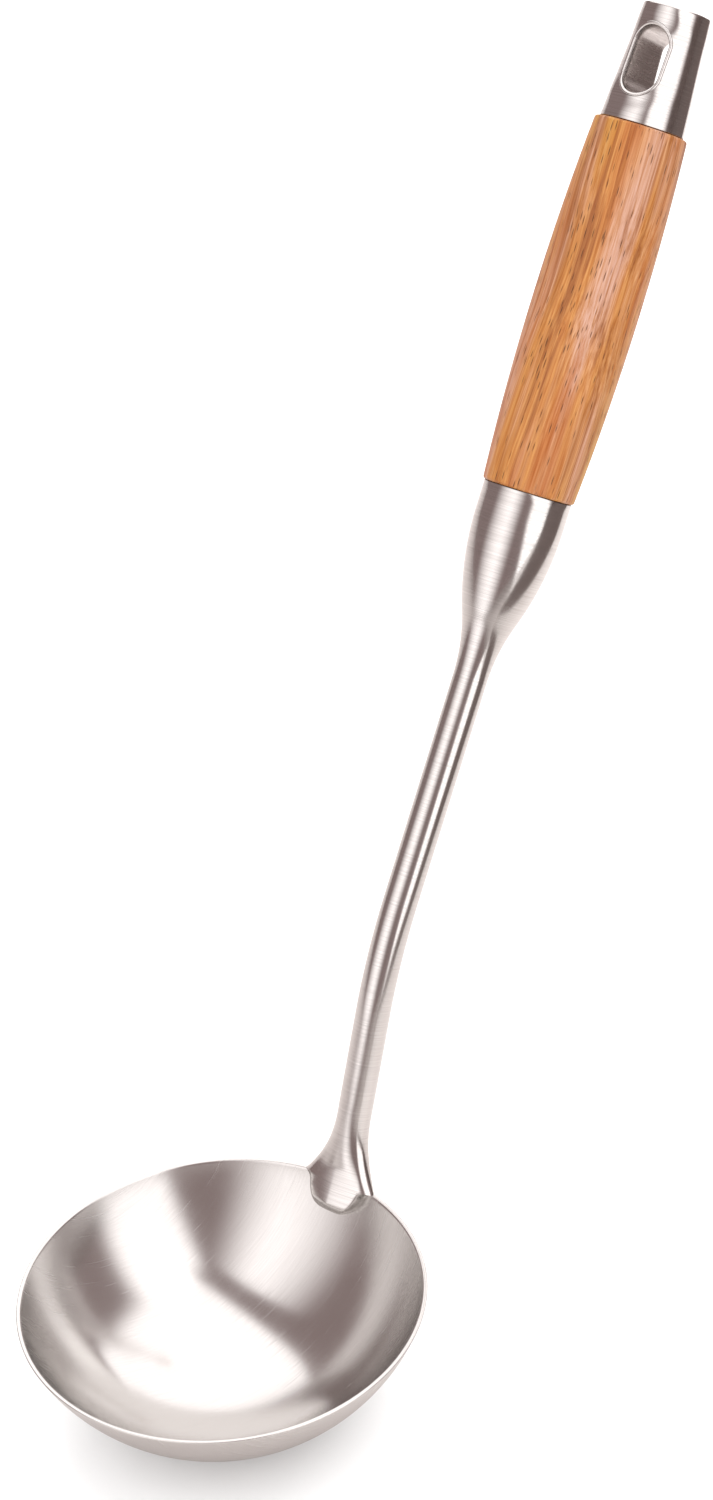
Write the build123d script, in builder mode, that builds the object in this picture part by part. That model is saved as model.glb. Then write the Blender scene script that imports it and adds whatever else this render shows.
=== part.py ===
from build123d import *
import math
import os

# Soup ladle, in millimetres.
# A pressed steel bowl stands level, with the ground flat under it at the origin. The flared foot of
# a hollow steel shank straddles its lip. The shank bends once, away from the bowl, and swells into a
# ferrule. A rod welded to the ferrule's plate runs through a turned wooden grip to a nut inside the
# tapered end cap, and pulls the three together. A walled slot through the cap hangs the ladle up.
# +X points from the bowl to the handle, +Z up, and the handle's axis lies in the plane Y = 0.

# Bowl
bowl_diameter = 110.0
bowl_depth = 37.0
bowl_sheet = 1.2
lip_bevel = 0.3  # both edges of the cut lip are broken
base_diameter = 14.0

# Shank: a tube, its foot and its ferrule
tube_diameter = 9.55
tube_wall = 1.0
lower_lean = 67.1  # degrees that the lower tube rises from the lip's plane
shank_bend = 13.3  # degrees that the upper tube leans further out
bend_radius = 140.0
lower_run = 65.1  # along the axis, from the lip to the corner of the bend
upper_run = 79.0  # from that corner to where the ferrule starts to swell
foot_width = 22.6
foot_thickness = 8.6
foot_flare = 20.0  # height over which the tube spreads to the foot
foot_spread_power = 2.3  # 1 would be a straight taper, more keeps the spread close to the lip
foot_lap = 8.4  # how far the foot's toes reach down both faces of the bowl
ferrule_diameter = 24.4
ferrule_swell = 44.5
ferrule_mouth = 7.8
swell_belly_share = 0.62  # the outward curve's part of the swell, the rest is the waist

# Wooden grip
grip_length = 100.4
grip_foot_diameter = 25.3
grip_belly_diameter = 28.8
grip_head_diameter = 25.4
grip_belly_share = 0.51
grip_end_round = 0.8
grip_bore_clearance = 0.3

# Rod and the plate that it is welded to
rod_diameter = 5.0
rod_point = 0.5
ferrule_plate_thickness = 2.0
rod_tail = 2.0

# End cap, its plates and its nut
cap_length = 32.0
cap_mouth_diameter = 23.1
cap_tip_diameter = 18.4
cap_wall = 1.0
cap_tip_round = 0.5
cap_end_thickness = 1.2
cap_plate_thickness = 1.5
nut_flats = 8.0
nut_height = 4.0
nut_edge = 0.5
rod_past_plate = 3.8

# Hanging slot
slot_width = 11.0
slot_wall = 0.9
slot_nut_gap = 0.95  # between the nut and the sleeve that lines the slot
slot_tip_margin = 4.75  # between that sleeve and the cap's tip
slot_proud = 0.15  # the sleeve's rolled mouths stand this far above the cap
slot_mouth_round = 0.5

bowl_radius = bowl_diameter / 2
base_radius = base_diameter / 2
tube_radius = tube_diameter / 2
ferrule_radius = ferrule_diameter / 2
rod_radius = rod_diameter / 2
cap_mouth_radius = cap_mouth_diameter / 2
cap_tip_radius = cap_tip_diameter / 2

# The slot's sleeve takes the room that the plate, the nut and the tip leave.
sleeve_start = cap_plate_thickness + nut_height + slot_nut_gap
sleeve_length = cap_length - slot_tip_margin - sleeve_start
sleeve_width = slot_width + 2 * slot_wall
slot_length = sleeve_length - 2 * slot_wall

# The bowl is part of a sphere through the lip's outer edge and the rim of the ground flat.
sphere_height = (bowl_radius**2 + bowl_depth**2 - base_radius**2) / (2 * bowl_depth)
outer_sphere = math.hypot(base_radius, sphere_height)
inner_sphere = outer_sphere - bowl_sheet
inner_lip_radius = math.sqrt(inner_sphere**2 - (sphere_height - bowl_depth) ** 2)

# The handle's axis starts in the middle of the lip's edge and bends once.
lower_angle = math.radians(lower_lean)
upper_angle = math.radians(lower_lean - shank_bend)
lower_direction = Vector(math.cos(lower_angle), 0, math.sin(lower_angle))
upper_direction = Vector(math.cos(upper_angle), 0, math.sin(upper_angle))
lip_point = Vector((bowl_radius + inner_lip_radius) / 2, 0, bowl_depth)
bend_corner = lip_point + lower_direction * lower_run
swell_start = bend_corner + upper_direction * upper_run
ferrule_end = swell_start + upper_direction * (ferrule_swell + ferrule_mouth)
cap_base = ferrule_end + upper_direction * grip_length
cap_tip = cap_base + upper_direction * cap_length
slot_centre = cap_base + upper_direction * (sleeve_start + sleeve_length / 2)


def facing(direction):
    """The direction square to the handle that looks back over the bowl."""
    return Vector(-direction.Z, 0, direction.X)


def along(point, direction):
    """A plane that holds the axis: its Y runs along the handle and its X looks over the bowl."""
    return Plane(origin=point, x_dir=facing(direction), z_dir=(0, 1, 0))


def across(point, direction):
    """A plane square to the axis: its X runs sideways and its Y looks over the bowl."""
    return Plane(origin=point, x_dir=(0, 1, 0), z_dir=direction)


def bowl_outline():
    """Half of the bowl's section: ground flat, outer curve, cut lip and inner curve."""
    outer_start = math.degrees(math.atan2(-sphere_height, base_radius))
    outer_end = math.degrees(math.atan2(bowl_depth - sphere_height, bowl_radius))
    inner_end = math.degrees(math.atan2(bowl_depth - sphere_height, inner_lip_radius))
    centre = (0, sphere_height)
    floor = sphere_height - inner_sphere
    with BuildLine() as outline:
        Line((0, 0), (base_radius, 0))
        CenterArc(centre, outer_sphere, outer_start, outer_end - outer_start)
        Line((bowl_radius, bowl_depth), (inner_lip_radius, bowl_depth))
        CenterArc(centre, inner_sphere, inner_end, -90 - inner_end)
        Line((0, floor), (0, 0))
    return outline.edges()


def ferrule_outline(inset):
    """Half of the ferrule's section, drawn in by inset: a waist arc, a belly arc and the mouth."""
    turn = 2 * math.atan2(ferrule_radius - tube_radius, ferrule_swell)
    both_radii = ferrule_swell / math.sin(turn)
    belly_radius = both_radii * swell_belly_share
    waist_radius = both_radii - belly_radius
    turn_degrees = math.degrees(turn)
    mouth_end = ferrule_swell + ferrule_mouth
    with BuildLine() as outline:
        Line((0, 0), (tube_radius - inset, 0))
        CenterArc((tube_radius + waist_radius, 0), waist_radius + inset, 180, -turn_degrees)
        CenterArc(
            (ferrule_radius - belly_radius, ferrule_swell), belly_radius - inset, -turn_degrees, turn_degrees
        )
        Line((ferrule_radius - inset, ferrule_swell), (ferrule_radius - inset, mouth_end))
        Line((ferrule_radius - inset, mouth_end), (0, mouth_end))
        Line((0, mouth_end), (0, 0))
    return outline.edges()


def cone_radius(height):
    """The end cap's outer radius at a height above its mouth."""
    return cap_mouth_radius + (cap_tip_radius - cap_mouth_radius) * height / cap_length


def cone_outline(inset, low, high):
    """Half of a slice of the end cap's cone, drawn in by inset."""
    with BuildLine() as outline:
        Polyline(
            (0, low),
            (cone_radius(low) - inset, low),
            (cone_radius(high) - inset, high),
            (0, high),
            close=True,
        )
    return outline.edges()


handle_axis = Axis(cap_base, upper_direction)

# Bowl
with BuildPart() as bowl:
    with BuildSketch(Plane.XZ):
        make_face(bowl_outline())
    revolve(axis=Axis.Z)
    chamfer(bowl.faces().sort_by(Axis.Z)[-1].edges(), lip_bevel)
bowl.part.label = "bowl"

# The foot's toes: an ellipsoid made at the origin, as wide and thick as the foot
with BuildPart() as toe_form:
    Sphere(foot_width / 2)
    scale(by=(1, foot_thickness / foot_width, 2 * foot_lap / foot_width))

# Shank
with BuildPart() as shank:
    flare_top = lip_point + lower_direction * foot_flare
    with BuildLine(Plane.XZ) as tube_path:
        FilletPolyline(
            (flare_top.X, flare_top.Z),
            (bend_corner.X, bend_corner.Z),
            (swell_start.X, swell_start.Z),
            radius=bend_radius,
        )
    with BuildSketch(across(flare_top, lower_direction)):
        Circle(tube_radius)
        Circle(tube_radius - tube_wall, mode=Mode.SUBTRACT)
    sweep(path=tube_path.wire())
    with BuildSketch(along(swell_start, upper_direction)):
        make_face(ferrule_outline(0))
        make_face(ferrule_outline(tube_wall), mode=Mode.SUBTRACT)
    revolve(axis=handle_axis)
    # The tube spreads sideways to the foot, slowly at first, and flattens a little.
    flare_shares = (0, 0.15, 0.35, 0.55, 0.75, 1)
    for share in flare_shares:
        spread = (1 - share) ** foot_spread_power
        with BuildSketch(across(lip_point + lower_direction * (foot_flare * share), lower_direction)):
            Ellipse(
                tube_radius + (foot_width / 2 - tube_radius) * spread,
                tube_radius + (foot_thickness / 2 - tube_radius) * (1 - share),
            )
    loft()
    with Locations(across(lip_point, lower_direction)):
        add(toe_form.part)
    # The foot is slotted over the lip, so the bowl's wall is cut out of it.
    with BuildSketch(Plane.XZ):
        make_face(bowl_outline())
    revolve(axis=Axis.Z, mode=Mode.SUBTRACT)
shank.part.label = "shank"

# Plate in the ferrule's mouth
with BuildPart() as ferrule_plate:
    with BuildSketch(across(ferrule_end, upper_direction)):
        Circle(ferrule_radius - tube_wall)
        Circle(rod_radius, mode=Mode.SUBTRACT)
    extrude(amount=-ferrule_plate_thickness)
ferrule_plate.part.label = "ferrule_plate"

# Rod
with BuildPart() as tang_rod:
    rod_start = ferrule_end - upper_direction * (ferrule_plate_thickness + rod_tail)
    rod_length = rod_tail + ferrule_plate_thickness + grip_length + cap_plate_thickness + rod_past_plate
    with BuildSketch(across(rod_start, upper_direction)):
        Circle(rod_radius)
    extrude(amount=rod_length)
    chamfer(tang_rod.edges().filter_by(GeomType.CIRCLE), rod_point)
tang_rod.part.label = "tang_rod"

# Wooden grip
with BuildPart() as wood_grip:
    with BuildSketch(along(ferrule_end, upper_direction)) as grip_section:
        with BuildLine():
            foot_corner = (grip_foot_diameter / 2, 0)
            belly_point = (grip_belly_diameter / 2, grip_length * grip_belly_share)
            head_corner = (grip_head_diameter / 2, grip_length)
            bore_radius = rod_radius + grip_bore_clearance
            ThreePointArc(foot_corner, belly_point, head_corner)
            Polyline(head_corner, (bore_radius, grip_length), (bore_radius, 0), foot_corner)
        make_face()
        outer_corners = grip_section.vertices().sort_by(Axis.X)[-2:]
        fillet(outer_corners, grip_end_round)
    revolve(axis=handle_axis)
wood_grip.part.label = "wood_grip"

# End cap: a tapered shell, with an oblong hole through both sides
slot_plane = Plane(origin=slot_centre, x_dir=upper_direction, z_dir=facing(upper_direction))
with BuildPart() as end_cap:
    with BuildSketch(along(cap_base, upper_direction)):
        make_face(cone_outline(0, 0, cap_length))
    revolve(axis=handle_axis)
    fillet(end_cap.edges().filter_by(GeomType.CIRCLE).sort_by(handle_axis)[-1], cap_tip_round)
    with BuildSketch(along(cap_base, upper_direction)):
        make_face(cone_outline(cap_wall, 0, cap_length))
    revolve(axis=handle_axis, mode=Mode.SUBTRACT)
    with BuildSketch(slot_plane):
        SlotOverall(sleeve_length, sleeve_width)
    extrude(amount=cap_mouth_radius, both=True, mode=Mode.SUBTRACT)
end_cap.part.label = "end_cap"

# Disc that closes the cap's small end
with BuildPart() as cap_end_disc:
    with BuildSketch(along(cap_base, upper_direction)):
        make_face(cone_outline(cap_wall, cap_length - cap_end_thickness, cap_length))
    revolve(axis=handle_axis)
cap_end_disc.part.label = "cap_end_disc"

# Sleeve through the cap: an oblong tube, trimmed to the cone, with rolled mouths
with BuildPart() as hang_sleeve:
    with BuildSketch(slot_plane):
        SlotOverall(sleeve_length, sleeve_width)
        SlotOverall(slot_length, slot_width, mode=Mode.SUBTRACT)
    extrude(amount=cap_mouth_radius, both=True)
    with BuildSketch(along(cap_base, upper_direction)):
        make_face(cone_outline(-slot_proud, 0, cap_length))
    revolve(axis=handle_axis, mode=Mode.INTERSECT)
    mouths = hang_sleeve.faces().filter_by(GeomType.CONE)
    fillet([edge for mouth in mouths for wire in mouth.inner_wires() for edge in wire.edges()], slot_mouth_round)
hang_sleeve.part.label = "hang_sleeve"

# Plate across the cap's mouth
with BuildPart() as cap_plate:
    with BuildSketch(along(cap_base, upper_direction)):
        make_face(cone_outline(cap_wall, 0, cap_plate_thickness))
    revolve(axis=handle_axis)
    with BuildSketch(across(cap_base, upper_direction)):
        Circle(rod_radius)
    extrude(amount=cap_plate_thickness, mode=Mode.SUBTRACT)
cap_plate.part.label = "cap_plate"

# Nut welded to the plate
with BuildPart() as cap_nut:
    nut_seat = cap_base + upper_direction * cap_plate_thickness
    with BuildSketch(across(nut_seat, upper_direction)):
        RegularPolygon(nut_flats / 2, 6, major_radius=False)
        Circle(rod_radius, mode=Mode.SUBTRACT)
    extrude(amount=nut_height)
    chamfer(cap_nut.faces().sort_by(handle_axis)[-1].outer_wire().edges(), nut_edge)
cap_nut.part.label = "cap_nut"

os.makedirs("parts", exist_ok=True)
pieces = (bowl, shank, ferrule_plate, tang_rod, wood_grip, end_cap, cap_end_disc, hang_sleeve, cap_plate, cap_nut)
for piece in pieces:
    export_step(piece.part, f"parts/{piece.part.label}.step")
print(f"Mounts: cap end {cap_tip}, hanging slot {slot_centre}")
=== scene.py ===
import bpy
import math
from mathutils import Matrix, Vector


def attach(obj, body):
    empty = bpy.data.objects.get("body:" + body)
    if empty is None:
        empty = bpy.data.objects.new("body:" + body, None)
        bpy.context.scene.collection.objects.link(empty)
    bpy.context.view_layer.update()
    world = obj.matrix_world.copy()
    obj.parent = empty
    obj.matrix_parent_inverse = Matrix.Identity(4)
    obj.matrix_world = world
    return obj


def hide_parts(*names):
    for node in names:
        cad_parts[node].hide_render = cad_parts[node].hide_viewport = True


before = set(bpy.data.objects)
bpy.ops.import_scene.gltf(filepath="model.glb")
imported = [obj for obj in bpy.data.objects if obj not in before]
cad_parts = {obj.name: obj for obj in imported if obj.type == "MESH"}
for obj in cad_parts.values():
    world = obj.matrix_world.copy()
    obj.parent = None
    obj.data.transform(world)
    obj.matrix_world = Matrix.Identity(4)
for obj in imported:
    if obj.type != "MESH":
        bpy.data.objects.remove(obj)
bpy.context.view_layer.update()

mm = 0.001
touching = 0.001 * mm  # points nearer than this are one
level = 0.01 * mm  # and places that differ by less are at the same height or radius
brushScale = 10  # units of a brush map in a metre

# Soup ladle. The bowl and the handle are remade at the frame's own sizes, with fine edges.
# The dictionaries give millimetres and degrees, unless a note says otherwise. Edges whose faces meet
# at less than smoothBelow are smoothed.
# Handle pieces are turned upright on Z first: z is the length along the handle from the bowl's lip,
# -x looks over the bowl and y is the ladle's side. seatOnHandle then lays them on the bent axis.

handle = {
    "lipRadius": 54.36,  # the axis starts in the middle of the lip's edge
    "lipHeight": 37.0,
    "lowerLean": 67.1,  # from the table
    "upperLean": 53.8,
    "bendStart": 48.78,  # this and the next three are lengths along the axis
    "gripStart": 196.26,
    "gripEnd": 296.66,
    "capEnd": 328.66,
    "bendRadius": 140.0,
}


def handlePlace(length):
    # the point of the axis at this length in metres, and the lean of the axis there
    lower = math.radians(handle["lowerLean"])
    upper = math.radians(handle["upperLean"])
    radius = handle["bendRadius"] * mm
    bendStart = handle["bendStart"] * mm
    point = Vector((handle["lipRadius"] * mm, 0, handle["lipHeight"] * mm))
    point += Vector((math.cos(lower), 0, math.sin(lower))) * min(length, bendStart)
    if length <= bendStart:
        return point, lower
    lean = max(upper, lower - (length - bendStart) / radius)
    point += Vector((math.sin(lower) - math.sin(lean), 0, math.cos(lean) - math.cos(lower))) * radius
    beyond = length - bendStart - (lower - upper) * radius
    if beyond > 0:
        point += Vector((math.cos(upper), 0, math.sin(upper))) * beyond
    return point, lean


def newBrushMap(mesh):
    while mesh.uv_layers:
        mesh.uv_layers.remove(mesh.uv_layers[0])
    return mesh.uv_layers.new(name="brush")


def seatOnHandle(piece):
    # keeps the upright coordinates for the materials, then lays the piece on the bent axis
    mesh = piece.data
    upright = mesh.attributes.new("upright", "FLOAT_VECTOR", "POINT")
    for vertex in mesh.vertices:
        upright.data[vertex.index].vector = vertex.co
    brush = newBrushMap(mesh)
    for face in mesh.polygons:
        middle = math.atan2(face.center.y, face.center.x)
        for corner in face.loop_indices:
            place = mesh.vertices[mesh.loops[corner].vertex_index].co
            angle = math.atan2(place.y, place.x)
            if angle - middle > math.pi:
                angle -= math.tau
            if angle - middle < -math.pi:
                angle += math.tau
            brush.data[corner].uv = (place.z * brushScale, angle / math.tau)
    for vertex in mesh.vertices:
        point, lean = handlePlace(vertex.co.z)
        outward = Vector((math.sin(lean), 0, -math.cos(lean)))
        vertex.co = point + outward * vertex.co.x + Vector((0, vertex.co.y, 0))
    mesh.update()


def newPiece(name):
    piece = bpy.context.object
    piece.name = name
    piece.data.name = name
    return piece


def pickAlone(piece):
    bpy.ops.object.select_all(action="DESELECT")
    piece.select_set(True)
    bpy.context.view_layer.objects.active = piece


def selectEdges(piece, wanted):
    # leaves the piece in edit mode, with only the edges selected whose two ends are wanted
    pickAlone(piece)
    bpy.ops.object.mode_set(mode="EDIT")
    bpy.ops.mesh.select_mode(type="EDGE")
    bpy.ops.mesh.select_all(action="DESELECT")
    bpy.ops.object.mode_set(mode="OBJECT")
    places = piece.data.vertices
    for edge in piece.data.edges:
        edge.select = wanted(*(places[number].co for number in edge.vertices))
    bpy.ops.object.mode_set(mode="EDIT")


def faceOutwards():
    # turns all faces of the mesh in edit mode outwards, and leaves edit mode
    bpy.ops.mesh.select_all(action="SELECT")
    bpy.ops.mesh.normals_make_consistent(inside=False)
    bpy.ops.object.mode_set(mode="OBJECT")


def applyModifier(piece, kind, **settings):
    pickAlone(piece)
    modifier = piece.modifiers.new(kind.title(), kind)
    for name, value in settings.items():
        setattr(modifier, name, value)
    bpy.ops.object.modifier_apply(modifier=modifier.name)


def smoothByAngle(piece, degrees):
    pickAlone(piece)
    bpy.ops.object.shade_smooth_by_angle(angle=math.radians(degrees))


def turnOnAxis(name, outline, sides):
    # a lathe: a ring is opened, laid along the outline's (radius, height) points and turned round Z
    bpy.ops.object.select_all(action="DESELECT")
    bpy.ops.mesh.primitive_circle_add(vertices=len(outline), radius=mm, location=(0, 0, 0))
    piece = newPiece(name)
    places = piece.data.vertices
    ends = (places[0].co.copy(), places[len(outline) - 1].co.copy())
    selectEdges(piece, lambda start, end: start in ends and end in ends)
    bpy.ops.mesh.delete(type="EDGE")
    bpy.ops.object.mode_set(mode="OBJECT")
    for vertex, (radius, height) in zip(piece.data.vertices, outline):
        vertex.co = (radius, 0, height)
    applyModifier(piece, "SCREW", axis="Z", angle=math.tau, steps=sides, render_steps=sides,
                  use_merge_vertices=True, merge_threshold=touching)
    bpy.ops.object.mode_set(mode="EDIT")
    bpy.ops.mesh.select_all(action="SELECT")
    bpy.ops.mesh.remove_doubles(threshold=touching)
    faceOutwards()
    return piece


def inMetres(outline, start=0):
    return [(radius * mm, (height + start) * mm) for radius, height in outline]


def arcOf(centre, radius, start, end, count):
    # points of an arc in the outline's plane, with angles in degrees
    points = []
    for number in range(count + 1):
        angle = math.radians(start + (end - start) * number / count)
        points.append((centre[0] + radius * math.cos(angle), centre[1] + radius * math.sin(angle)))
    return points


def stepsBetween(low, high, step):
    count = max(1, round((high - low) / step))
    return [low + (high - low) * number / count for number in range(count + 1)]


def dress(piece, material, node):
    piece.data.materials.clear()
    piece.data.materials.append(material)
    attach(piece, "root")
    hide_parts(node)


# Node helpers for the materials
def startMaterial(name):
    material = bpy.data.materials.new(name)
    material.use_nodes = True
    return material, material.node_tree, material.node_tree.nodes["Principled BSDF"]


def addNode(tree, kind, settings=None, values=None):
    node = tree.nodes.new("ShaderNode" + kind)
    for name, value in (settings or {}).items():
        setattr(node, name, value)
    for name, value in (values or {}).items():
        node.inputs[name].default_value = value
    return node


def feed(tree, socket, value):
    # numbers and colours are set on the socket, another node's output is linked to it
    if isinstance(value, (int, float)):
        socket.default_value = value
    elif isinstance(value, tuple):
        socket.default_value = (*value, 1)
    else:
        tree.links.new(value, socket)


def uprightVector(tree):
    return addNode(tree, "Attribute", {"attribute_name": "upright"}).outputs["Vector"]


def objectVector(tree):
    return addNode(tree, "TexCoord").outputs["Object"]


def partsOf(tree, vector):
    node = addNode(tree, "SeparateXYZ")
    tree.links.new(vector, node.inputs[0])
    return node.outputs


def stretched(tree, vector, scale, place=(0, 0, 0), turn=0):
    # a scale of one number stretches the pattern evenly, and turn is in radians round Z
    scale = scale if isinstance(scale, tuple) else (scale,) * 3
    node = addNode(tree, "Mapping", None, {"Scale": scale, "Location": place, "Rotation": (0, 0, turn)})
    tree.links.new(vector, node.inputs["Vector"])
    return node.outputs["Vector"]


def noiseOf(tree, vector, detail=3, roughness=0.6):
    node = addNode(tree, "TexNoise", None, {"Scale": 1, "Detail": detail, "Roughness": roughness})
    tree.links.new(vector, node.inputs["Vector"])
    return node.outputs["Fac"]


def ranged(tree, value, span, result=(0, 1), kind="LINEAR"):
    # the value's span becomes the result's, and nothing goes past the ends of that
    node = addNode(tree, "MapRange", {"interpolation_type": kind, "clamp": True}, {
        "From Min": span[0], "From Max": span[1], "To Min": result[0], "To Max": result[1]})
    tree.links.new(value, node.inputs["Value"])
    return node.outputs["Result"]


def combined(tree, operation, *values):
    node = addNode(tree, "Math", {"operation": operation})
    for number, value in enumerate(values):
        feed(tree, node.inputs[number], value)
    return node.outputs[0]


def averaged(tree, first, second, share):
    # the two patterns together, the first with this share
    return combined(tree, "MULTIPLY_ADD", first, share, combined(tree, "MULTIPLY", second, 1 - share))


def tinted(tree, amount, first, second, blend="MIX"):
    node = addNode(tree, "Mix", {"data_type": "RGBA", "blend_type": blend})
    for number, value in ((0, amount), (6, first), (7, second)):
        feed(tree, node.inputs[number], value)
    return node.outputs[2]


def bumped(tree, shader, height, bump):
    # bump is a strength and a depth in millimetres
    node = addNode(tree, "Bump", None, {"Strength": bump[0], "Distance": bump[1] * mm})
    tree.links.new(height, node.inputs["Height"])
    tree.links.new(node.outputs["Normal"], shader.inputs["Normal"])


def brushAlong(tree, shader, anisotropy):
    # highlights stretch across the brushed lines, along the first axis of the piece's brush map
    shader.inputs["Anisotropic"].default_value = anisotropy
    tangent = addNode(tree, "Tangent", {"direction_type": "UV_MAP", "uv_map": "brush"})
    tree.links.new(tangent.outputs["Tangent"], shader.inputs["Tangent"])


# Patterns count waves in a metre, or in 0.1 m on the bowl's brush map.
# A span is the part of a pattern, from 0 to 1, over which its effect grows.

# Smudges that dull the visible steel in places and leave it clearer in others
smudgeLook = {"span": (0.35, 0.7), "roughness": (-0.02, 0.03), "fineness": 0.55}


def smudged(tree, vector, waves, rough):
    smudges = noiseOf(tree, stretched(tree, vector, waves), roughness=smudgeLook["fineness"])
    return combined(tree, "ADD", rough, ranged(tree, smudges, smudgeLook["span"], smudgeLook["roughness"]))


# Steel of the bowl: fine straight polishing lines and a few light scratches beside them
bowlFinish = {
    "colour": (0.685, 0.672, 0.658),
    "worn": (0.645, 0.628, 0.612),
    "wornSpan": (0.36, 0.64),
    "roughness": (0.14, 0.2),
    "roughSpan": (0.3, 0.7),
    "wallRoughness": 0.07,  # added towards the lip
    "wallStart": 0.45,  # share of the lip's height where that begins
    "anisotropy": 0.25,
    "lines": (400, 9, 0),  # waves across the polishing lines and along them
    "crossLines": (260, 10, 0),
    "crossShare": 0.45,
    "crossTurn": 0.12,  # radians
    "scratches": (360, 6, 0),
    "scratchSpan": (0.64, 0.74),
    "scratchTurn": -0.08,  # radians
    "scratchRoughness": 0.08,
    "scratchHeight": 0.5,
    "smudges": 38,
    "bump": (0.05, 0.02),
}


def bowlSteel():
    look = bowlFinish
    material, tree, shader = startMaterial("polished bowl steel")
    brush = addNode(tree, "UVMap", {"uv_map": "brush"}).outputs["UV"]
    lines = noiseOf(tree, stretched(tree, brush, look["lines"]))
    crossing = noiseOf(tree, stretched(tree, brush, look["crossLines"], turn=look["crossTurn"]))
    grain = averaged(tree, crossing, lines, look["crossShare"])
    scratches = stretched(tree, brush, look["scratches"], turn=look["scratchTurn"])
    scratches = ranged(tree, noiseOf(tree, scratches, detail=1, roughness=0.4), look["scratchSpan"])
    rough = ranged(tree, grain, look["roughSpan"], look["roughness"])
    rough = smudged(tree, objectVector(tree), look["smudges"], rough)
    rough = combined(tree, "MULTIPLY_ADD", scratches, look["scratchRoughness"], rough)
    lip = handle["lipHeight"] * mm
    wall = (look["wallStart"] * lip, lip)
    onWall = ranged(tree, partsOf(tree, objectVector(tree))["Z"], wall, (0, look["wallRoughness"]))
    tree.links.new(combined(tree, "ADD", rough, onWall), shader.inputs["Roughness"])
    colour = tinted(tree, ranged(tree, grain, look["wornSpan"]), look["colour"], look["worn"])
    tree.links.new(colour, shader.inputs["Base Color"])
    shader.inputs["Metallic"].default_value = 1
    brushAlong(tree, shader, look["anisotropy"])
    height = combined(tree, "MULTIPLY_ADD", scratches, look["scratchHeight"], grain)
    bumped(tree, shader, height, look["bump"])
    return material


# Steel of the handle: lines turned round the axis, and painted shade on the steel where it meets the wood
handleFinish = {
    "colour": (0.73, 0.71, 0.693),
    "worn": (0.5, 0.48, 0.463),
    "wornSpan": (0.35, 0.7),
    "wornMost": 0.8,
    "roughness": (0.1, 0.2),
    "roughSpan": (0.35, 0.68),
    "anisotropy": 0.5,
    "lines": (34, 34, 3600),
    "bands": (14, 14, 1900),
    "bandShare": 0.5,
    "smudges": 60,
    # painted shade: a dark colour on the steel beside the wood's ends, standing in for the shadow in the
    # joint
    "seam": (0.1, 0.065, 0.05),
    "paintedShadeMost": 0.9,
    "paintedShadeSpan": (0.1, 0.4),  # fades over these distances from the wood
    "bump": (0.08, 0.02),
}


def paintedShadeBesideWood(tree, place):
    # painted shade, strongest on the steel right beside the wood's two ends, and 0 a little further off
    middle = (handle["gripStart"] + handle["gripEnd"]) / 2
    half = (handle["gripEnd"] - handle["gripStart"]) / 2
    fade = tuple((half + distance) * mm for distance in handleFinish["paintedShadeSpan"])
    away = combined(tree, "ABSOLUTE", combined(tree, "SUBTRACT", partsOf(tree, place)["Z"], middle * mm))
    return ranged(tree, away, fade, (handleFinish["paintedShadeMost"], 0))


def handleSteel():
    look = handleFinish
    material, tree, shader = startMaterial("turned handle steel")
    place = uprightVector(tree)
    lines = noiseOf(tree, stretched(tree, place, look["lines"]))
    bands = noiseOf(tree, stretched(tree, place, look["bands"]))
    grain = averaged(tree, bands, lines, look["bandShare"])
    rough = ranged(tree, grain, look["roughSpan"], look["roughness"])
    tree.links.new(smudged(tree, place, look["smudges"], rough), shader.inputs["Roughness"])
    worn = ranged(tree, grain, look["wornSpan"], (0, look["wornMost"]))
    colour = tinted(tree, worn, look["colour"], look["worn"])
    # painted shade: the steel beside the wood's ends is darkened towards the seam colour
    colour = tinted(tree, paintedShadeBesideWood(tree, place), colour, look["seam"])
    tree.links.new(colour, shader.inputs["Base Color"])
    shader.inputs["Metallic"].default_value = 1
    brushAlong(tree, shader, look["anisotropy"])
    bumped(tree, shader, grain, look["bump"])
    return material


# Steel of the sleeve in the cap: as drawn, duller than the turned pieces
sleeveFinish = {
    "colour": (0.7, 0.665, 0.645),
    "worn": (0.54, 0.505, 0.49),
    "roughness": (0.24, 0.4),
    "span": (0.35, 0.65),
    "draws": (120, 2600, 2600),
    "spots": 500,
    "spotShare": 0.3,
    "bump": (0.1, 0.02),
}


def sleeveSteel():
    look = sleeveFinish
    material, tree, shader = startMaterial("drawn sleeve steel")
    place = uprightVector(tree)
    draws = noiseOf(tree, stretched(tree, place, look["draws"]))
    spots = noiseOf(tree, stretched(tree, place, look["spots"]))
    colour = tinted(tree, ranged(tree, draws, look["span"]), look["colour"], look["worn"])
    tree.links.new(colour, shader.inputs["Base Color"])
    rough = averaged(tree, spots, draws, look["spotShare"])
    tree.links.new(ranged(tree, rough, look["span"], look["roughness"]), shader.inputs["Roughness"])
    shader.inputs["Metallic"].default_value = 1
    bumped(tree, shader, draws, look["bump"])
    return material


# Steel that the grip and the cap hide: dull, as cut and welded
innerFinish = {
    "colour": (0.42, 0.4, 0.38),
    "stained": (0.26, 0.22, 0.19),
    "stains": 140,
    "stainSpan": (0.45, 0.7),
    "stainMost": 0.8,
    "roughness": (0.35, 0.6),
    "marks": 900,
    "markSpan": (0.3, 0.7),
    "bump": (0.3, 0.05),
}


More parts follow.
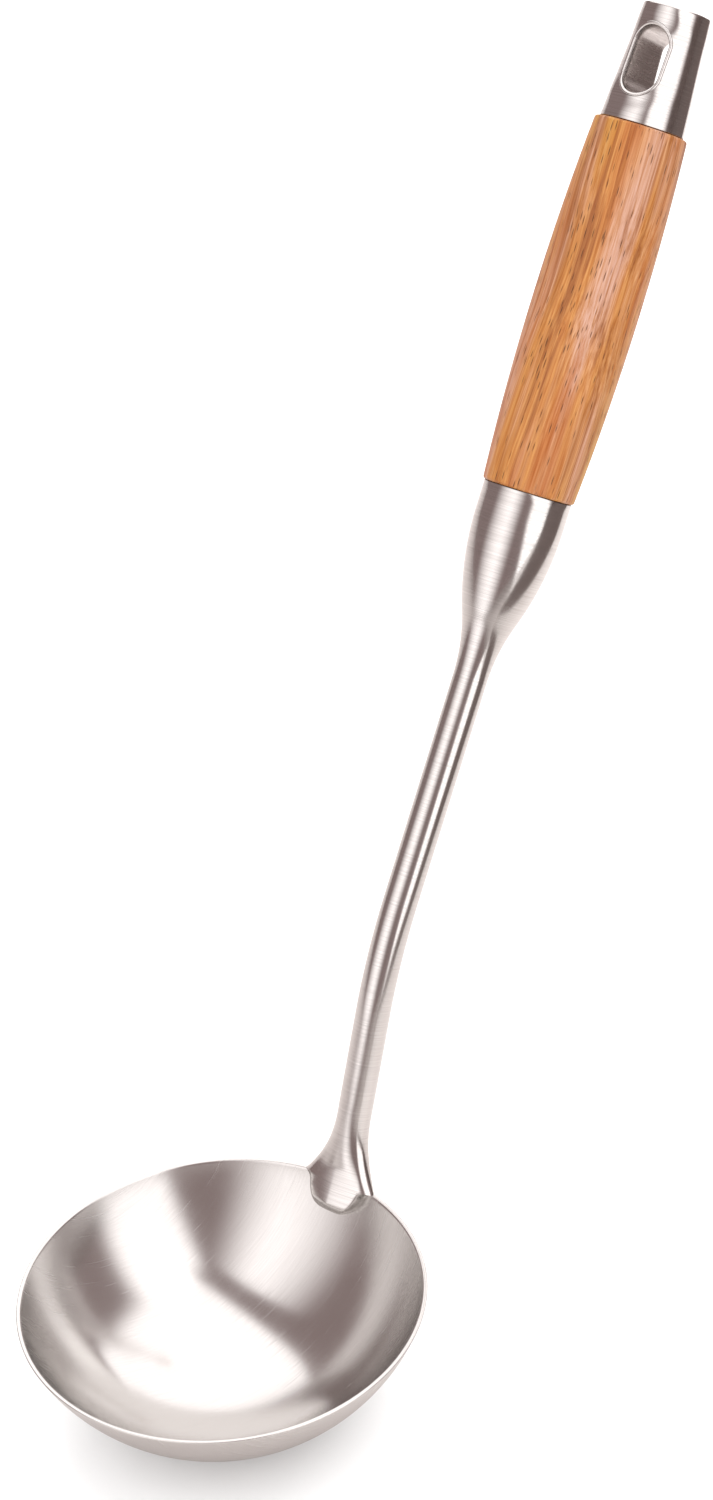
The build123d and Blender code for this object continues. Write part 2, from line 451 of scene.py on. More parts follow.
def innerSteel():
    look = innerFinish
    material, tree, shader = startMaterial("inner steel")
    place = objectVector(tree)
    marks = noiseOf(tree, stretched(tree, place, look["marks"]), detail=4)
    stains = noiseOf(tree, stretched(tree, place, look["stains"]), roughness=0.5)
    stained = ranged(tree, stains, look["stainSpan"], (0, look["stainMost"]))
    colour = tinted(tree, stained, look["colour"], look["stained"])
    tree.links.new(colour, shader.inputs["Base Color"])
    tree.links.new(ranged(tree, marks, look["markSpan"], look["roughness"]), shader.inputs["Roughness"])
    shader.inputs["Metallic"].default_value = 1
    bumped(tree, shader, marks, look["bump"])
    return material


# Oiled hardwood: soft zones of colour, long dark streaks, fibres and short pores, all along the handle
woodFinish = {
    "orange": (0.385, 0.145, 0.032),
    "pink": (0.405, 0.2, 0.118),
    "pinkZones": (130, 130, 7),  # waves across the handle, and along it
    "pinkSpan": (0.4, 0.6),
    "gold": (0.385, 0.16, 0.006),
    "goldZones": (95, 95, 6),
    "goldSpan": (0.5, 0.64),
    "goldMost": 0.85,
    "red": (0.31, 0.083, 0.012),
    "redZones": (160, 160, 9),
    "redSpan": (0.5, 0.66),
    "redMost": 0.9,
    "streak": (0.2, 0.052, 0.008),
    "broadStreaks": (190, 190, 6),
    "narrowStreaks": (620, 620, 11),
    "narrowShare": 0.52,
    "streakSpan": (0.49, 0.6),
    "streakMost": 0.8,
    "fibres": (2400, 2400, 40),
    "fibreSpan": (0.3, 0.7),
    "fibreShade": {"Red": (0.83, 1.25), "Green": (0.67, 1.5), "Blue": (0.36, 1.98)},  # in hollows, on ridges
    "pore": (0.07, 0.02, 0.004),
    "poreCells": (1500, 1500, 140),
    "poreEdge": (0.14, 0.27),  # a pore is full up to the first share of its cell, and ends at the second
    "poreZones": (110, 110, 20),
    "poreZoneSpan": (0.36, 0.6),
    "poreChance": (0.3, 1),
    "poreMost": 0.85,
    "sway": (18, 18, 14),  # bends the grain
    "swayReach": 16.0,
    "roughness": (0.36, 0.5),
    "poreRoughness": 0.2,
    "specular": 0.32,
    "fibreHeight": 0.5,
    "poreHeight": -1.2,
    "bump": (0.35, 0.06),
}


def swayed(tree, place):
    # the upright place, pushed sideways by a slow pattern
    sway = noiseOf(tree, stretched(tree, place, woodFinish["sway"]), detail=1, roughness=0.4)
    shift = combined(tree, "MULTIPLY", combined(tree, "SUBTRACT", sway, 0.5), woodFinish["swayReach"] * mm)
    push = addNode(tree, "CombineXYZ")
    tree.links.new(shift, push.inputs["X"])
    tree.links.new(shift, push.inputs["Y"])
    moved = addNode(tree, "VectorMath", {"operation": "ADD"})
    tree.links.new(place, moved.inputs[0])
    tree.links.new(push.outputs["Vector"], moved.inputs[1])
    return moved.outputs["Vector"]


def poresOf(tree, place):
    # one spot in each kept cell, and more cells kept in some zones
    look = woodFinish
    cells = addNode(tree, "TexVoronoi", {"feature": "F1"}, {"Scale": 1, "Randomness": 1})
    tree.links.new(stretched(tree, place, look["poreCells"]), cells.inputs["Vector"])
    spots = ranged(tree, cells.outputs["Distance"], look["poreEdge"], (1, 0))
    chance = addNode(tree, "SeparateColor")
    tree.links.new(cells.outputs["Color"], chance.inputs["Color"])
    density = noiseOf(tree, stretched(tree, place, look["poreZones"], (5, 2, 9)), detail=2, roughness=0.5)
    density = ranged(tree, density, look["poreZoneSpan"], look["poreChance"])
    return combined(tree, "MULTIPLY", spots, combined(tree, "LESS_THAN", chance.outputs["Red"], density))


def oiledWood():
    # each pattern has its own place, so that no two run alike
    look = woodFinish
    material, tree, shader = startMaterial("oiled hardwood")
    place = swayed(tree, uprightVector(tree))
    pink = noiseOf(tree, stretched(tree, place, look["pinkZones"], (3.1, 1.7, 0.4)), roughness=0.5)
    colour = tinted(tree, ranged(tree, pink, look["pinkSpan"]), look["orange"], look["pink"])
    gold = noiseOf(tree, stretched(tree, place, look["goldZones"], (1.3, 8.2, 2.2)), detail=2, roughness=0.5)
    colour = tinted(tree, ranged(tree, gold, look["goldSpan"], (0, look["goldMost"])), colour, look["gold"])
    red = noiseOf(tree, stretched(tree, place, look["redZones"], (2.7, 5.1, 3.3)))
    colour = tinted(tree, ranged(tree, red, look["redSpan"], (0, look["redMost"])), colour, look["red"])
    broad = noiseOf(tree, stretched(tree, place, look["broadStreaks"], (4.4, 0.3, 1.1)))
    narrow = stretched(tree, place, look["narrowStreaks"], (7.2, 4.4, 1.3))
    narrow = noiseOf(tree, narrow, detail=4, roughness=0.65)
    streaks = averaged(tree, narrow, broad, look["narrowShare"])
    streaks = ranged(tree, streaks, look["streakSpan"], (0, look["streakMost"]))
    colour = tinted(tree, streaks, colour, look["streak"])
    fibres = noiseOf(tree, stretched(tree, place, look["fibres"]))
    shade = addNode(tree, "CombineColor")
    for channel, shades in look["fibreShade"].items():
        tree.links.new(ranged(tree, fibres, look["fibreSpan"], shades), shade.inputs[channel])
    colour = tinted(tree, 1.0, colour, shade.outputs["Color"], "MULTIPLY")
    pores = poresOf(tree, place)
    colour = tinted(tree, combined(tree, "MULTIPLY", pores, look["poreMost"]), colour, look["pore"])
    tree.links.new(colour, shader.inputs["Base Color"])
    rough = ranged(tree, fibres, look["fibreSpan"], look["roughness"])
    rough = combined(tree, "MULTIPLY_ADD", pores, look["poreRoughness"], rough)
    tree.links.new(rough, shader.inputs["Roughness"])
    shader.inputs["Specular IOR Level"].default_value = look["specular"]
    height = combined(tree, "MULTIPLY", fibres, look["fibreHeight"])
    bumped(tree, shader, combined(tree, "MULTIPLY_ADD", pores, look["poreHeight"], height), look["bump"])
    return material


handleMaterial = handleSteel()
sleeveMaterial = sleeveSteel()
innerMaterial = innerSteel()
woodMaterial = oiledWood()
print("handle materials ready")

# Bowl: one sheet, part of a ball, with a small flat to stand on and a flat cut lip
bowlSize = {
    "lipDiameter": 110.0,
    "depth": 37.0,
    "sheet": 1.2,
    "groundFlat": 14.0,
    "lipBevel": 0.4,
    "bevelSegments": 4,
    "flatRings": (0.95, 0.5, 0),  # shares of the flat's radius
    "rings": 90,
    "sides": 224,
    "smoothBelow": 40,
    "polishHeading": -17.0,  # from X
}


def ballHeight():
    lip = bowlSize["lipDiameter"] / 2
    flat = bowlSize["groundFlat"] / 2
    return (lip**2 + bowlSize["depth"]**2 - flat**2) / (2 * bowlSize["depth"])


def ballRadius():
    return math.hypot(bowlSize["groundFlat"] / 2, ballHeight())


def bowlOutline():
    size = bowlSize
    centre = (0, ballHeight())
    flat = size["groundFlat"] / 2
    outer = ballRadius()
    inner = outer - size["sheet"]
    drop = ballHeight() - size["depth"]
    innerLip = -math.degrees(math.asin(drop / inner))
    outerLip = -math.degrees(math.asin(drop / outer))
    outerFlat = -math.degrees(math.acos(flat / outer))
    points = arcOf(centre, inner, -90, innerLip, size["rings"])
    points += arcOf(centre, outer, outerLip, outerFlat, size["rings"])
    points += [(flat * share, 0) for share in size["flatRings"]]
    return inMetres(points)


def brushAcross(piece):
    # the polishing lines lie in upright planes that run this way, evenly spaced over the ball
    heading = math.radians(bowlSize["polishHeading"])
    ball = ballRadius() * mm
    brush = newBrushMap(piece.data)
    for loop in piece.data.loops:
        place = piece.data.vertices[loop.vertex_index].co
        across = place.y * math.cos(heading) - place.x * math.sin(heading)
        along = place.x * math.cos(heading) + place.y * math.sin(heading)
        arcs = (math.asin(across / ball) * ball, math.asin(along / ball) * ball)
        brush.data[loop.index].uv = (arcs[0] * brushScale, arcs[1] * brushScale)


def makeBowl():
    bowl = turnOnAxis("ladle_bowl", bowlOutline(), bowlSize["sides"])
    lipHeight = bowlSize["depth"] * mm - touching
    selectEdges(bowl, lambda start, end: start.z > lipHeight and end.z > lipHeight
                and abs(start.xy.length - end.xy.length) < level)
    bpy.ops.mesh.bevel(offset=bowlSize["lipBevel"] * mm, segments=bowlSize["bevelSegments"], affect="EDGES")
    bpy.ops.mesh.select_mode(type="VERT")
    faceOutwards()
    brushAcross(bowl)
    smoothByAngle(bowl, bowlSize["smoothBelow"])
    dress(bowl, bowlSteel(), "bowl")


makeBowl()
print("bowl ready")

# Shank: one skin from the foot's toe in the bowl, up the bent tube and into the swaged ferrule
shankSize = {
    "tubeDiameter": 9.55,
    "footWidth": 22.6,  # across its wings, which lie along the lip
    "footThickness": 8.6,  # twice that of its outer half
    "footFlare": 20.0,  # height over the lip where it starts to widen
    "footLap": 9.8,  # depth of its toe under the lip
    "spreadPower": 2.3,
    "swellStart": 143.96,
    "swellLength": 44.5,
    "ferruleDiameter": 24.4,
    "bellyShare": 0.62,  # of the swell, the rest is its waist
    "edge": 0.3,
    "bodyHalfWidth": 9.5,  # inside the bowl the foot is a tongue, narrower than its wings
    "bodyMiddle": 1.5,  # height where the tongue is widest
    "bodyBlend": 1.2,
    "wingDrop": 2.2,  # depth of the wings under the lip
    "wingPower": 5,
    "toeRise": 1.7,  # the foot thickens towards its toe, so its front faces up
    "toeSpan": (5.0, -9.0),
    "toeRound": 4.5,
    "toePower": 2.2,
    "plateSpan": (10.0, -4.0),  # over these heights the front goes from round to a domed plate
    "plateDome": 0.42,  # fall of the dome to the tongue's side, a share of the thickness
    "platePower": 1.5,
    "plateSides": 1.25,  # steepness of the plate's sides
    "plateCrease": 0.06,  # and how softly they meet the dome
    "spacing": {"foot": 0.5, "lower": 2, "bend": 1, "upper": 3, "ferrule": 2},  # between rings
    "toeRings": 72,
    "waistRings": 24,
    "bellyRings": 32,
    "edgeRings": 4,
    "sides": 192,
    "smoothBelow": 35,
}


def shankOutline():
    size = shankSize
    tube = size["tubeDiameter"] / 2
    ferrule = size["ferruleDiameter"] / 2
    points = []
    for step in range(size["toeRings"]):
        toe = math.radians(step / size["toeRings"] * 90)
        points.append((tube * math.sin(toe), -size["footLap"] * math.cos(toe)))
    bend = handle["bendRadius"] * math.radians(handle["lowerLean"] - handle["upperLean"])
    bendEnd = handle["bendStart"] + bend
    spacing = size["spacing"]
    heights = stepsBetween(0, size["footFlare"], spacing["foot"])
    heights += stepsBetween(size["footFlare"], handle["bendStart"], spacing["lower"])[1:]
    heights += stepsBetween(handle["bendStart"], bendEnd, spacing["bend"])[1:]
    heights += stepsBetween(bendEnd, size["swellStart"], spacing["upper"])[1:]
    points += [(tube, height) for height in heights]
    turn = 2 * math.atan2(ferrule - tube, size["swellLength"])
    bothRadii = size["swellLength"] / math.sin(turn)
    belly = bothRadii * size["bellyShare"]
    waist = bothRadii - belly
    degrees = math.degrees(turn)
    swellEnd = size["swellStart"] + size["swellLength"]
    points += arcOf((tube + waist, size["swellStart"]), waist, 180, 180 - degrees, size["waistRings"])[1:]
    points += arcOf((ferrule - belly, swellEnd), belly, -degrees, 0, size["bellyRings"])[1:]
    mouth = handle["gripStart"]
    edge = size["edge"]
    points += [(ferrule, height) for height in stepsBetween(swellEnd, mouth - edge, spacing["ferrule"])[1:]]
    points += arcOf((ferrule - edge, mouth - edge), edge, 0, 90, size["edgeRings"])[1:]
    points.append((0, mouth))
    return inMetres(points)


def eased(value, span):
    share = min(1, max(0, (value - span[0]) / (span[1] - span[0])))
    return share * share * (3 - 2 * share)


def footAt(height):
    # half width of the foot's body, reach of its wings beyond that and half thickness, all in millimetres
    size = shankSize
    tube = size["tubeDiameter"] / 2
    full = tube + (size["footWidth"] / 2 - tube) * (1 - height / size["footFlare"]) ** size["spreadPower"]
    toe = max(0, (size["bodyMiddle"] - height) / (size["bodyMiddle"] + size["footLap"]))
    tongue = size["bodyHalfWidth"] * max(0, 1 - toe ** size["toePower"]) ** (1 / size["toePower"])
    body = max(0, (full + tongue - math.hypot(full - tongue, size["bodyBlend"])) / 2)
    wing = max(0, full - body)
    if height < 0:
        wing = max(0, size["footWidth"] / 2 - body) * max(0, 1 + height / size["wingDrop"]) ** 2
    thick = tube + size["toeRise"] * eased(height, size["toeSpan"])
    end = max(0, 1 - (height + size["footLap"]) / size["toeRound"])
    return body, wing, thick * math.sqrt(max(0, 1 - end**2))


def frontAt(height, reach, frontShare):
    # the front's share of the half thickness: round on the tube, a dome with steeper sides on the tongue
    size = shankSize
    plate = eased(height, size["plateSpan"])
    dome = 1 - size["plateDome"] * abs(reach) ** size["platePower"]
    sides = size["plateSides"] * frontShare
    flat = (dome + sides - math.hypot(dome - sides, size["plateCrease"])) / 2
    return frontShare + (flat - frontShare) * plate


def spreadFoot(piece):
    # widens the tube's end into the foot, whose wings follow the lip's circle
    size = shankSize
    tube = size["tubeDiameter"] / 2
    lean = math.radians(handle["lowerLean"])
    for vertex in piece.data.vertices:
        place = vertex.co
        radius = math.hypot(place.x, place.y)
        height = place.z / mm
        if height >= size["footFlare"] or radius < touching:
            continue
        body, wing, thick = footAt(height)
        sideShare = place.y / radius
        side = sideShare * (body + wing * abs(sideShare) ** size["wingPower"]) * mm
        share = min(1, 1 - height / size["footFlare"])
        if place.x < 0:
            reach = sideShare * body / size["bodyHalfWidth"]
            depth = -frontAt(height, reach, -place.x / radius) * thick
        else:
            thick = tube + (size["footThickness"] / 2 - tube) * share
            depth = place.x / radius * thick * math.sqrt(max(0, 1 - (min(0, height) / size["footLap"])**2))
        bow = share * side**2 / (2 * handle["lipRadius"] * mm)
        vertex.co = (depth * mm - bow * math.sin(lean), side, place.z - bow * math.cos(lean))


def makeShank():
    shank = turnOnAxis("handle_shank", shankOutline(), shankSize["sides"])
    spreadFoot(shank)
    seatOnHandle(shank)
    smoothByAngle(shank, shankSize["smoothBelow"])
    dress(shank, handleMaterial, "shank")


makeShank()
print("shank ready")

# Wooden grip: a barrel with eased ends, bored for the rod
gripSize = {
    "footDiameter": 25.3,
    "bellyDiameter": 28.8,
    "headDiameter": 25.4,
    "bellyShare": 0.51,  # place of the belly along the grip
    "endRound": 0.8,
    "bore": 5.6,
    "spacing": 2,
    "endRings": 8,
    "sides": 128,
    "smoothBelow": 40,
}


def makeGrip():
    size = gripSize
    length = handle["gripEnd"] - handle["gripStart"]
    foot, belly, head = (size[name] / 2 for name in ("footDiameter", "bellyDiameter", "headDiameter"))
    bellyPlace = length * size["bellyShare"]

    def barrel(height):
        # a parabola through the three widths is as good as the arc over so flat a curve
        low = foot * (height - bellyPlace) * (height - length) / (bellyPlace * length)
        middle = belly * height * (height - length) / (bellyPlace * (bellyPlace - length))
        high = head * height * (height - bellyPlace) / (length * (length - bellyPlace))
        return low + middle + high

    edge = size["endRound"]
    bore = size["bore"] / 2
    outline = [(bore, 0)]
    outline += arcOf((barrel(edge) - edge, edge), edge, -90, 0, size["endRings"])
    heights = stepsBetween(edge, length - edge, size["spacing"])[1:-1]
    outline += [(barrel(height), height) for height in heights]
    outline += arcOf((barrel(length - edge) - edge, length - edge), edge, 0, 90, size["endRings"])
    outline += [(bore, length), (bore, 0)]
    grip = turnOnAxis("wooden_grip", inMetres(outline, handle["gripStart"]), size["sides"])
    seatOnHandle(grip)
    smoothByAngle(grip, size["smoothBelow"])
    dress(grip, woodMaterial, "wood_grip")


makeGrip()
print("grip ready")

# End cap, its closing disc and the sleeve that lines the hanging slot
capSize = {
    "mouthDiameter": 23.1,
    "tipDiameter": 18.4,
    "wall": 1.0,
    "seam": 0.35,
    "tipRound": 0.53,
    "spacing": 0.4,
    "innerSpacing": 2,
    "tipRings": 6,
    "sides": 320,
    "smoothBelow": 35,
    "discThickness": 1.2,
    "discBevel": 0.12,
    "discRings": (0.8, 0.6, 0.4, 0.2, 0),  # shares of its radius
    "discSides": 128,
    "slotLength": 19.0,
    "slotWidth": 11.0,
    "slotWall": 0.9,
    "slotMiddle": 16.85,  # from the cap's mouth
    "slotSides": 96,
    "cutterGap": 0.1,  # the cut stays this far inside the sleeve's wall
    "cutterReach": 20.0,
    "sleeveReach": 12.0,
    "rimRound": 0.44,
    "rimSegments": 6,
    "rimProud": 0.3,
    "rimPolish": 1.0,  # depth to which the rims are polished with the cap
    "throat": 0.8,  # the sleeve draws in by this much behind its rolled rims
    "throatDepth": 2.8,
    "throatRings": 7,
    "dip": 0.3,  # the cap's skin is pressed in a little round the slot
    "dipReach": 4.5,
}


def capRadius(height):
    # the cone's outer radius, height in metres along the handle
    share = (height - handle["gripEnd"] * mm) / ((handle["capEnd"] - handle["gripEnd"]) * mm)
    return (capSize["mouthDiameter"] + (capSize["tipDiameter"] - capSize["mouthDiameter"]) * share) / 2 * mm


def capSkin(side, height):
    # how far the cone's skin stands out in front of the axis
    return math.sqrt(max(0, capRadius(height)**2 - side**2))


def slotMiddle():
    return (handle["gripEnd"] + capSize["slotMiddle"]) * mm


def slotStraight():
    return (capSize["slotLength"] - capSize["slotWidth"]) / 2 * mm


def slotDistance(side, height, radius):
    # how far a place lies outside a slot outline of this end radius
    along = max(0, abs(height - slotMiddle()) - slotStraight())
    return math.hypot(side, along) - radius


def slotDip(side, height):
    radius = (capSize["slotWidth"] / 2 + capSize["slotWall"]) * mm
    outside = max(0, slotDistance(side, height, radius))
    share = max(0, 1 - outside / (capSize["dipReach"] * mm))
    return capSize["dip"] * mm * share**2 * (3 - 2 * share)


def slotFace(name, radius, reach):
    # an oblong face in front of the cap, all selected in edit mode, to be drawn through it
    middle = slotMiddle()
    bpy.ops.object.select_all(action="DESELECT")
    bpy.ops.mesh.primitive_circle_add(vertices=capSize["slotSides"], radius=radius, fill_type="NGON",
                                      location=(-reach, 0, middle), rotation=(0, math.pi / 2, 0))
    piece = newPiece(name)
    bpy.ops.object.transform_apply(location=True, rotation=True, scale=True)
    for vertex in piece.data.vertices:
        vertex.co.z += slotStraight() if vertex.co.z > middle else -slotStraight()
    bpy.ops.object.mode_set(mode="EDIT")
    bpy.ops.mesh.select_all(action="SELECT")
    return piece


def drawThrough(distance):
    bpy.ops.mesh.extrude_region_move(TRANSFORM_OT_translate={"value": (distance * mm, 0, 0)})


def makeCap():
    size = capSize
    length = handle["capEnd"] - handle["gripEnd"]
    wall = size["wall"]
    edge = size["tipRound"]
    seam = size["seam"]

    def cone(height):
        return capRadius((height + handle["gripEnd"]) * mm) / mm

    outline = [(cone(0) - seam, 0), (cone(seam), seam)]
    outline += [(cone(height), height) for height in stepsBetween(seam, length - edge, size["spacing"])[1:]]
    outline += arcOf((cone(length - edge) - edge, length - edge), edge, 0, 90, size["tipRings"])[1:]
    outline += [(cone(length) - wall, length)]
    inside = stepsBetween(0, length, size["innerSpacing"])[1:-1]
    outline += [(cone(height) - wall, height) for height in reversed(inside)]
    outline += [(cone(0) - wall, 0), outline[0]]
    cap = turnOnAxis("end_cap_shell", inMetres(outline, handle["gripEnd"]), size["sides"])
    radius = (size["slotWidth"] / 2 + size["slotWall"] - size["cutterGap"]) * mm
    cutter = slotFace("slot cutter", radius, size["cutterReach"] * mm)
    drawThrough(2 * size["cutterReach"])
    faceOutwards()
    applyModifier(cap, "BOOLEAN", operation="DIFFERENCE", solver="EXACT", object=cutter)
    bpy.data.objects.remove(cutter)
    for vertex in cap.data.vertices:
        place = vertex.co
        reach = math.hypot(place.x, place.y)
        closeIn = (reach - slotDip(place.y, place.z)) / reach
        place.x *= closeIn
        place.y *= closeIn
    seatOnHandle(cap)
    smoothByAngle(cap, size["smoothBelow"])
    dress(cap, handleMaterial, "end_cap")


def makeDisc():
    size = capSize
    high = handle["capEnd"]
    low = high - size["discThickness"]
    radius = size["tipDiameter"] / 2 - size["wall"]
    bevel = size["discBevel"]
    outline = [(0, low), (radius, low), (radius, high - bevel), (radius - bevel, high)]
    outline += [(radius * share, high) for share in size["discRings"]]
    disc = turnOnAxis("cap_disc", inMetres(outline), size["discSides"])
    seatOnHandle(disc)
    smoothByAngle(disc, size["smoothBelow"])
    dress(disc, handleMaterial, "cap_end_disc")


def makeSleeve():
    size = capSize
    reach = size["sleeveReach"] * mm
    sleeve = slotFace("slot_sleeve", size["slotWidth"] / 2 * mm, reach)
    bpy.ops.mesh.delete(type="ONLY_FACE")
    bpy.ops.mesh.select_all(action="SELECT")
    throat = [size["throatDepth"] / size["throatRings"]] * size["throatRings"]
    for step in throat + [2 * (size["sleeveReach"] - size["throatDepth"])] + throat:
        drawThrough(step)
    faceOutwards()
    applyModifier(sleeve, "SOLIDIFY", thickness=size["slotWall"] * mm, offset=1)
    mouthRadius = (size["slotWidth"] / 2 + size["slotWall"] / 2) * mm

    def alongMouth(start, end):
        # an edge that runs round a mouth, and doesn't cross the wall
        outside = [slotDistance(place.y, place.z, mouthRadius) > 0 for place in (start, end)]
        return min(abs(start.x), abs(end.x)) > reach - level and outside[0] == outside[1]

    selectEdges(sleeve, alongMouth)
    bpy.ops.mesh.bevel(offset=size["rimRound"] * mm, segments=size["rimSegments"], affect="EDGES")
    bpy.ops.mesh.select_mode(type="VERT")
    faceOutwards()
    for vertex in sleeve.data.vertices:
        place = vertex.co
        inward = min(1, (reach - abs(place.x)) / (size["throatDepth"] * mm))
        inward = size["throat"] * (1 - (1 - inward)**2) / (size["slotWidth"] / 2)
        place.y *= 1 - inward
        straight = math.copysign(slotStraight(), place.z - slotMiddle())
        place.z -= (place.z - slotMiddle() - straight) * inward
        rim = capSkin(place.y, place.z) - (size["dip"] - size["rimProud"]) * mm
        place.x = math.copysign(rim + abs(place.x) - reach, place.x)
    dress(sleeve, handleMaterial, "hang_sleeve")
    sleeve.data.materials.append(sleeveMaterial)
    for face in sleeve.data.polygons:
        skin = capSkin(face.center.y, face.center.z)
        face.material_index = int(abs(face.center.x) < skin - size["rimPolish"] * mm)
    seatOnHandle(sleeve)
    smoothByAngle(sleeve, size["smoothBelow"])


def dressHidden():
    for name in ("ferrule_plate", "tang_rod", "cap_plate", "cap_nut"):
        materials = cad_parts[name].data.materials
        materials.clear()
        materials.append(innerMaterial)


makeCap()
makeDisc()
makeSleeve()
dressHidden()
print("cap ready")

# Floor, in metres
floorLook = {
    "size": 16.0,
    "drop": 0.0002,
    "colour": (0.93, 0.93, 0.93),
    "speckle": (0.91, 0.91, 0.91),
    "speckles": 900,
    "inSteel": (0.61, 0.56, 0.545),  # what the polished steel shows of it
    "paintedShadowInSteel": (0.44, 0.405, 0.39),  # and of a painted shadow over its side towards -Y
    "paintedShadowSpan": (-0.3, -0.11),  # wholly the painted shadow at the first Y, not at all at the second
    "roughness": 0.28,
}


def makeFloor():
    look = floorLook
    bpy.ops.object.select_all(action="DESELECT")
    bpy.ops.mesh.primitive_plane_add(size=look["size"], location=(0, 0, -look["drop"]))
    floor = newPiece("studio_floor")
    bpy.ops.object.transform_apply(location=True, rotation=True, scale=True)
    material, tree, shader = startMaterial("pale floor")
    place = objectVector(tree)
    speckles = noiseOf(tree, stretched(tree, place, look["speckles"]))
    colour = tinted(tree, speckles, look["colour"], look["speckle"])
    # painted shadow: the floor as the steel shows it is darker towards -Y
    side = ranged(tree, partsOf(tree, place)["Y"], look["paintedShadowSpan"], (1, 0))
    inSteel = tinted(tree, side, look["inSteel"], look["paintedShadowInSteel"])
    glossy = addNode(tree, "LightPath").outputs["Is Glossy Ray"]
    tree.links.new(tinted(tree, glossy, colour, inSteel), shader.inputs["Base Color"])
    shader.inputs["Roughness"].default_value = look["roughness"]
    floor.data.materials.append(material)


# Soft lights, each a panel. Directions and tilts in degrees, sizes in metres.
# An edge fades over the named share of the panel's width or height.
softLights = {
    "leftPanel": {
        "azimuth": 164.5,
        "elevation": 40.4,
        "distance": 1.471,
        "facing": (176.0, 25.4),
        "width": 2.64,
        "height": 2.07,
        "glow": 1.33,
        "fades": {"left": 0.62, "right": 0.41, "top": 0.07, "bottom": 0.06},
    },
    "rightPanel": {
        "azimuth": -87.4,
        "elevation": 30.1,
        "distance": 1.43,
        "facing": (-111.0, 36.4),
        "width": 1.5,
        "height": 1.73,
        "glow": 1.48,
        "fades": {"left": 0.15, "right": 0.36, "top": 0.2, "bottom": 0.02},
    },
}
ceilingLight = {
    "corner": (-0.333, -0.853),  # the edge that the bowl shows as the end of its dark band runs through here
    "heading": 95.2,  # that edge sets off this way
    "bend": 0.125,  # and bends to the right, metres in the first metre
    "back": 0.75,  # length of the panel behind the corner
    "length": 5.2,
    "width": 4.1,
    "over": 1.6,  # height above the floor
    "glow": 1.42,
    "fades": {"left": 0.035, "right": 0.02, "top": 0.04, "bottom": 0.12},
}


def addPanel(name, place, axes, look, height):
    data = bpy.data.lights.new(name, "AREA")
    data.shape = "RECTANGLE"
    data.size = look["width"]
    data.size_y = height
    data.energy = look["glow"] * math.pi * look["width"] * height
    data.use_nodes = True
    tree = data.node_tree
    across = partsOf(tree, addNode(tree, "NewGeometry").outputs["Parametric"])
    places = {"X": across["X"], "Y": across["Y"]}
    if "bend" in look:
        beyond = combined(tree, "SUBTRACT", places["Y"], look["back"] / height)
        beyond = combined(tree, "MULTIPLY", beyond, beyond)
        curve = combined(tree, "MULTIPLY", beyond, look["bend"] * height**2 / look["width"])
        places["X"] = combined(tree, "SUBTRACT", places["X"], curve)
    glow = 1
    for side, axis, far in (("left", "X", 0), ("right", "X", 1), ("bottom", "Y", 0), ("top", "Y", 1)):
        edge = ranged(tree, places[axis], (far, abs(far - look["fades"][side])), kind="SMOOTHSTEP")
        glow = combined(tree, "MULTIPLY", glow, edge)
    tree.links.new(glow, tree.nodes["Emission"].inputs["Strength"])
    lamp = bpy.data.objects.new(name, data)
    bpy.context.scene.collection.objects.link(lamp)
    lamp.matrix_world = Matrix.Translation(place) @ Matrix(axes).transposed().to_4x4()
    lamp.visible_camera = False


def directionOf(azimuth, elevation):
    azimuth, elevation = math.radians(azimuth), math.radians(elevation)
    out = math.cos(elevation)
    return Vector((math.cos(azimuth) * out, math.sin(azimuth) * out, math.sin(elevation)))


def makeLights():
    up = Vector((0, 0, 1))
    for name, look in softLights.items():
        back = directionOf(*look["facing"])
        across = up.cross(back).normalized()
        place = directionOf(look["azimuth"], look["elevation"]) * look["distance"]
        addPanel(name, place, (across, back.cross(across), back), look, look["height"])
    look = ceilingLight
    along = directionOf(look["heading"], 0)
    right = along.cross(up)
    middle = Vector((*look["corner"], look["over"]))
    middle += along * (look["length"] / 2 - look["back"]) + right * look["width"] / 2
    addPanel("ceilingPanel", middle, (right, along, up), look, look["length"])


# The dark side of the studio, a mat and a low wall seen only in the steel, in metres
darkSide = {
    "colour": (0.11, 0.072, 0.066),
    "patchColour": (0.07, 0.055, 0.05),
    "patches": 6,
    "heading": 24.0,  # degrees
    "start": (0.1, -0.32),
    "back": 0.5,  # length behind the start
    "length": 2.4,
    "width": 1.6,
    "height": 0.43,
    "matHeight": 0.001,
}


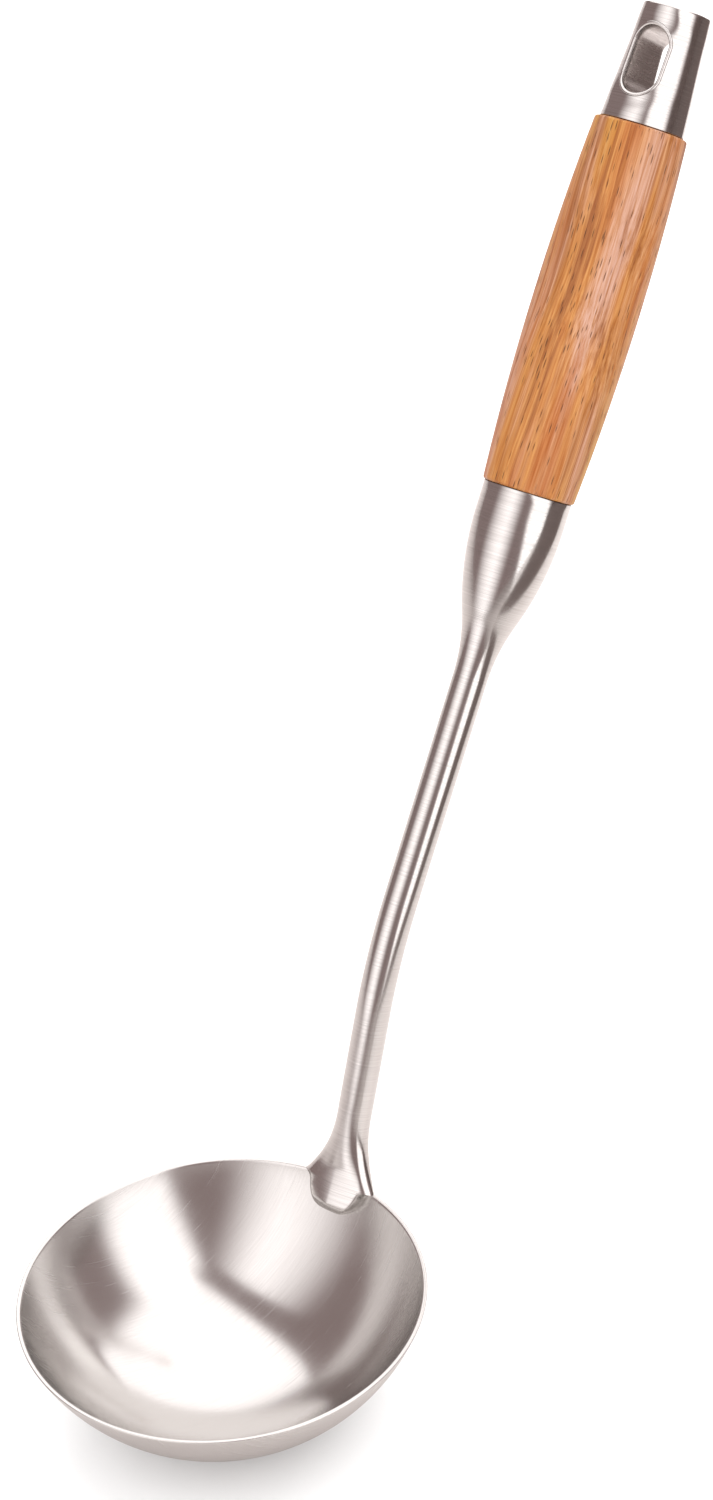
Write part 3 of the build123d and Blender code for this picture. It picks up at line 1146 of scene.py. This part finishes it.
def makeDarkSide():
    look = darkSide
    heading = math.radians(look["heading"])
    along = Vector((math.cos(heading), math.sin(heading), 0))
    right = Vector((math.sin(heading), -math.cos(heading), 0))
    middle = Vector((*look["start"], 0.0)) + along * (look["length"] / 2 - look["back"])
    mat = middle + right * look["width"] / 2 + Vector((0, 0, look["matHeight"]))
    wall = middle + right * look["width"] + Vector((0, 0, look["height"] / 2))
    material, tree, shader = startMaterial("dark cloth")
    patches = stretched(tree, objectVector(tree), look["patches"])
    patches = noiseOf(tree, patches, detail=2, roughness=0.5)
    tree.links.new(tinted(tree, patches, look["colour"], look["patchColour"]), shader.inputs["Base Color"])
    shader.inputs["Roughness"].default_value = 1
    for name, place, tilt, breadth in (
        ("dark_mat", mat, 0, look["width"]),
        ("dark_wall", wall, math.pi / 2, look["height"]),
    ):
        bpy.ops.object.select_all(action="DESELECT")
        bpy.ops.mesh.primitive_plane_add(size=1, location=place, rotation=(tilt, 0, heading))
        card = newPiece(name)
        card.scale = (look["length"], breadth, 1)
        bpy.ops.object.transform_apply(location=True, rotation=True, scale=True)
        card.data.materials.append(material)
        card.visible_camera = False
        card.visible_diffuse = False
        card.visible_shadow = False


# The room: warm and dim in reflections, pale where the camera looks past the floor, and a soft fill
roomLook = {"dim": (0.31, 0.235, 0.228), "pale": (1, 1, 1), "fill": (1.12, 1.12, 1.12)}


def makeRoom():
    world = bpy.data.worlds.new("studio room")
    bpy.context.scene.world = world
    world.use_nodes = True
    tree = world.node_tree
    path = addNode(tree, "LightPath")
    colour = tinted(tree, path.outputs["Is Camera Ray"], roomLook["dim"], roomLook["pale"])
    colour = tinted(tree, path.outputs["Is Diffuse Ray"], colour, roomLook["fill"])
    tree.links.new(colour, tree.nodes["Background"].inputs["Color"])


makeFloor()
makeLights()
makeDarkSide()
makeRoom()
bpy.context.scene.view_settings.view_transform = "Standard"
print("studio ready")

# The photograph's view: place in metres, turn in degrees, lens and sensor in millimetres
photoView = {
    "place": (-0.60053625, -0.55061708, 0.79277319),
    "turn": (54.31003, 3.91925, -53.66615),
    "lens": 99.4166,
    "sensor": 36.0,
    "nearest": 0.01,
    "farthest": 50,
}


def makeCamera():
    look = photoView
    data = bpy.data.cameras.new("photo view")
    data.lens = look["lens"]
    data.sensor_width = look["sensor"]
    data.clip_start = look["nearest"]
    data.clip_end = look["farthest"]
    camera = bpy.data.objects.new("photo view", data)
    bpy.context.scene.collection.objects.link(camera)
    camera.location = look["place"]
    camera.rotation_euler = [math.radians(turn) for turn in look["turn"]]
    bpy.context.scene.camera = camera


makeCamera()
print("camera ready")
